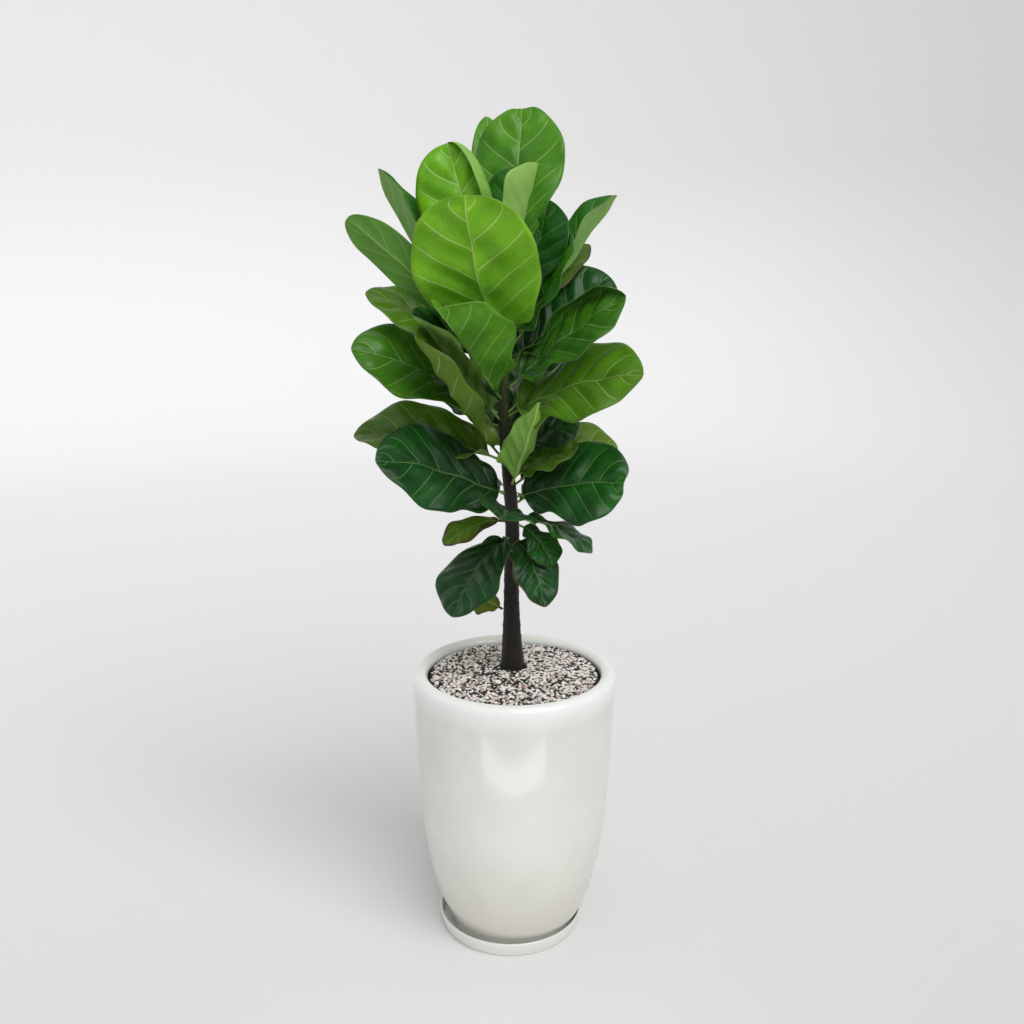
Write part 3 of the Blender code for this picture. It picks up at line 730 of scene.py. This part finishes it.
# Leaf skin: a waxed green cuticle that some light passes through. The upper face is satin to
# glossy with sunken veins, and the underside is matt and paler with raised ones.
leaf_faces = {}
for face, roughness, glow in (("upper", 0.28, 0.12), ("under", 0.50, 0.18)):
    material, tree, output = new_material(f"fig_leaf_{face}_face")
    leaf_faces[face] = material
    place = add(tree, "ShaderNodeTexCoord")
    reads = {
        name: add(tree, "ShaderNodeAttribute", attribute_name=name).outputs["Fac"]
        for name in ("veins", "rib", "edge", "blade", "tone", "olive", "pale", "dry")
    }
    # The blade's green, from lime when young to dark when old or low in the crown (partly painted
    # shade), mottled in clouds of about 60 mm that are partly its own and partly painted dappled light
    # and shade, and darker near the stalk as painted shade.
    clouds = add(
        tree,
        "ShaderNodeTexNoise",
        {"Vector": place.outputs["Object"], "Scale": 17.0, "Detail": 3.0, "Roughness": 0.6},
    )
    # Partly the leaf's own mottling, partly painted dappled light and shade.
    mottle_and_dapple = add(
        tree, "ShaderNodeMath", {0: clouds.outputs["Fac"], 1: 0.60, 2: -0.30}, operation="MULTIPLY_ADD"
    )
    tone_and_dapple = add(tree, "ShaderNodeMath", {0: reads["tone"], 1: mottle_and_dapple.outputs["Value"]}, operation="ADD")
    # Painted shade: the green is darkened towards the stalk, where the crown around it shades the leaf.
    stalk_shade = add(
        tree, "ShaderNodeMapRange", {"Value": reads["blade"], "From Max": 0.6, "To Min": 0.34, "To Max": 0.0}
    )
    tone_with_shade = add(
        tree,
        "ShaderNodeMath",
        {0: stalk_shade.outputs["Result"], 1: reads["tone"], 2: tone_and_dapple.outputs["Value"]},
        operation="MULTIPLY_ADD",
    )
    greens = add(tree, "ShaderNodeValToRGB", {"Fac": tone_with_shade.outputs["Value"]})
    for start, code in ((0.2, "529f0c"), (0.42, "35800f"), (0.65, "176114"), (0.85, "0a4719")):
        greens.color_ramp.elements.new(start).color = srgb(code)
    greens.color_ramp.elements[0].color = srgb("7cc408")
    greens.color_ramp.elements[-1].color = srgb("062f15")
    yellowed = add(
        tree,
        "ShaderNodeMix",
        {0: reads["olive"], 6: greens.outputs["Color"], 7: srgb("6f7a12")},
        data_type="RGBA",
    )
    blade_green = yellowed
    if face == "under":
        blade_green = add(
            tree,
            "ShaderNodeMix",
            {0: reads["pale"], 6: yellowed.outputs[2], 7: srgb("a4d46c")},
            data_type="RGBA",
        )
    # Fine veins close a net of cells about 5 mm across.
    net = add(
        tree,
        "ShaderNodeTexVoronoi",
        {"Vector": place.outputs["Object"], "Scale": 190.0},
        feature="DISTANCE_TO_EDGE",
    )
    net_line = add(
        tree,
        "ShaderNodeMapRange",
        {"Value": net.outputs["Distance"], "From Max": 0.10, "To Min": 0.22, "To Max": 0.0},
    )
    # The midrib is 2.5 mm wide at its base, and the side veins about 1 mm, fading out before
    # they meet the margin.
    to_vein = add(tree, "ShaderNodeMath", {0: reads["veins"], 1: 0.5}, operation="PINGPONG")
    side_vein = add(
        tree,
        "ShaderNodeMapRange",
        {
            "Value": to_vein.outputs["Value"],
            "From Min": 0.012,
            "From Max": 0.036,
            "To Min": 1.0,
            "To Max": 0.0,
        },
    )
    far_in = add(tree, "ShaderNodeMapRange", {"Value": reads["edge"], "From Min": 3.0, "From Max": 14.0})
    clear_of_base = add(
        tree, "ShaderNodeMapRange", {"Value": reads["blade"], "From Min": 0.02, "From Max": 0.08}
    )
    side_line = add(
        tree,
        "ShaderNodeMath",
        {0: side_vein.outputs["Result"], 1: far_in.outputs["Result"]},
        operation="MULTIPLY",
    )
    side_line = add(
        tree,
        "ShaderNodeMath",
        {0: side_line.outputs["Value"], 1: clear_of_base.outputs["Result"]},
        operation="MULTIPLY",
    )
    rib_line = add(
        tree,
        "ShaderNodeMapRange",
        {"Value": reads["rib"], "From Min": 0.9, "From Max": 1.7, "To Min": 1.0, "To Max": 0.0},
    )
    rim_line = add(
        tree,
        "ShaderNodeMapRange",
        {"Value": reads["edge"], "From Min": 0.5, "From Max": 1.2, "To Min": 0.6, "To Max": 0.0},
    )
    lines = add(
        tree,
        "ShaderNodeMath",
        {0: side_line.outputs["Value"], 1: rib_line.outputs["Result"]},
        operation="MAXIMUM",
    )
    lines = add(
        tree,
        "ShaderNodeMath",
        {0: lines.outputs["Value"], 1: rim_line.outputs["Result"]},
        operation="MAXIMUM",
    )
    marked = add(
        tree,
        "ShaderNodeMath",
        {0: lines.outputs["Value"], 1: net_line.outputs["Result"]},
        operation="MAXIMUM",
    )
    vein_greens = add(tree, "ShaderNodeValToRGB", {"Fac": reads["tone"]})
    vein_greens.color_ramp.elements[0].color = srgb("cfe38a")
    vein_greens.color_ramp.elements[1].color = srgb("6c9a55")
    fading = add(tree, "ShaderNodeMapRange", {"Value": reads["tone"], "To Min": 0.72, "To Max": 0.40})
    vein_shown = add(
        tree,
        "ShaderNodeMath",
        {0: marked.outputs["Value"], 1: fading.outputs["Result"]},
        operation="MULTIPLY",
    )
    veined = add(
        tree,
        "ShaderNodeMix",
        {
            0: vein_shown.outputs["Value"],
            6: blade_green.outputs[2],
            7: vein_greens.outputs["Color"],
        },
        data_type="RGBA",
    )
    # Old margins brown from the edge inwards, unevenly.
    ragged = add(
        tree, "ShaderNodeTexNoise", {"Vector": place.outputs["Object"], "Scale": 60.0, "Detail": 2.0}
    )
    reach = add(tree, "ShaderNodeMath", {0: ragged.outputs["Fac"], 1: reads["dry"]}, operation="MULTIPLY")
    reach = add(tree, "ShaderNodeMath", {0: reach.outputs["Value"], 1: 24.0}, operation="MULTIPLY")
    past = add(tree, "ShaderNodeMath", {0: reach.outputs["Value"], 1: reads["edge"]}, operation="SUBTRACT")
    browned = add(
        tree, "ShaderNodeMapRange", {"Value": past.outputs["Value"], "From Min": -1.0, "From Max": 3.0}
    )
    skin = add(
        tree,
        "ShaderNodeMix",
        {0: browned.outputs["Result"], 6: veined.outputs[2], 7: srgb("5d4a2c")},
        data_type="RGBA",
    )
    relief = add(
        tree,
        "ShaderNodeMath",
        {0: marked.outputs["Value"], 1: clouds.outputs["Fac"]},
        operation="SUBTRACT" if face == "under" else "ADD",
    )
    relief = add(
        tree,
        "ShaderNodeBump",
        {"Height": relief.outputs["Value"], "Strength": 0.35, "Distance": 0.0012},
        invert=face == "upper",
    )
    wax = add(
        tree,
        "ShaderNodeMapRange",
        {
            "Value": clouds.outputs["Fac"],
            "From Min": 0.3,
            "From Max": 0.7,
            "To Min": roughness - 0.06,
            "To Max": roughness + 0.08,
        },
    )
    surface = add(
        tree,
        "ShaderNodeBsdfPrincipled",
        {
            "Base Color": skin.outputs[2],
            "Roughness": wax.outputs["Result"],
            "IOR": 1.45,
            "Specular IOR Level": 0.36,
            "Normal": relief.outputs["Normal"],
        },
    )
    through = add(
        tree, "ShaderNodeMix", {0: 0.6, 6: skin.outputs[2], 7: srgb("a4d020")}, data_type="RGBA"
    )
    lit_through = add(
        tree, "ShaderNodeBsdfTranslucent", {"Color": through.outputs[2], "Normal": relief.outputs["Normal"]}
    )
    mixed = add(
        tree, "ShaderNodeMixShader", {0: glow, 1: surface.outputs["BSDF"], 2: lit_through.outputs["BSDF"]}
    )
    tree.links.new(mixed.outputs["Shader"], output.inputs["Surface"])

for leaf in LEAVES:
    blade = leaf_piece(leaf, leaf_faces["upper"], leaf_faces["under"])
    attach(blade, "root")
    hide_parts(leaf.name)

# The studio: a pale floor that curves up into a round backdrop, open to an even white sky, with
# one large soft light ahead and above, and a low strip in front for the soft spot on the pot.
FLOOR_RADIUS, CURVE, WALL_HEIGHT = 5.0, 2.2, 4.6
BACKDROP = [(0.0, 0.0), *arc((FLOOR_RADIUS, CURVE), CURVE, -90, 0, 12), (FLOOR_RADIUS + CURVE, WALL_HEIGHT)]
backdrop_shape = bmesh.new()
corners = [backdrop_shape.verts.new((r, 0, z)) for r, z in BACKDROP]
for a, b in zip(corners, corners[1:]):
    backdrop_shape.edges.new((a, b))
bmesh.ops.spin(
    backdrop_shape,
    geom=backdrop_shape.verts[:] + backdrop_shape.edges[:],
    cent=(0, 0, 0),
    axis=(0, 0, 1),
    angle=math.tau,
    steps=96,
    use_merge=True,
)
bmesh.ops.remove_doubles(backdrop_shape, verts=backdrop_shape.verts, dist=0.0005)
# Backdrop paper: pale, uncoated and matt.
paper, tree, output = new_material("pale_backdrop_paper")
paper_shader = add(
    tree,
    "ShaderNodeBsdfPrincipled",
    {"Base Color": srgb("e6e6e6"), "Roughness": 0.85, "Specular IOR Level": 0.2},
)
tree.links.new(paper_shader.outputs["BSDF"], output.inputs["Surface"])
backdrop = new_piece("studio_backdrop", backdrop_shape, paper)

sky = bpy.data.worlds.new("even_white_sky")
sky.use_nodes = True
sky.node_tree.nodes["Background"].inputs["Color"].default_value = srgb("ffffff")
sky.node_tree.nodes["Background"].inputs["Strength"].default_value = 0.56
bpy.context.scene.world = sky
# Colours are shown as they are, so that the white glaze and the greens keep their hex values.
bpy.context.scene.view_settings.view_transform = "Standard"


def place_light(lamp, place, target):
    """A lamp hung at a place and turned to a target, unseen itself."""
    light = bpy.data.objects.new(lamp.name, lamp)
    light.location = place
    light.rotation_euler = (Vector(target) - Vector(place)).to_track_quat("-Z", "Y").to_euler()
    light.visible_camera = False
    bpy.context.scene.collection.objects.link(light)


key = bpy.data.lights.new("large_soft_key", "SUN")
key.energy, key.angle = 1.8, math.radians(45)
place_light(key, (1.35, -2.1, 3.4), (0, 0, 0.8))
strip = bpy.data.lights.new("low_strip", "AREA")
strip.shape, strip.size, strip.size_y, strip.energy = "RECTANGLE", 0.8, 0.07, 0.5
place_light(strip, (0.0, -0.64, 0.12), (0, -0.19, 0.412))

# The camera stands 1.9 m in front of the stem and 1.32 m up, and looks a little down.
lens = bpy.data.cameras.new("camera")
lens.lens, lens.sensor_width, lens.clip_start = 36, 36, 0.05
camera = bpy.data.objects.new("camera", lens)
camera.location = (0.003, -1.9, 1.32)
camera.rotation_euler = (math.radians(90 - 13.4), 0, 0)
bpy.context.scene.collection.objects.link(camera)
bpy.context.scene.camera = camera
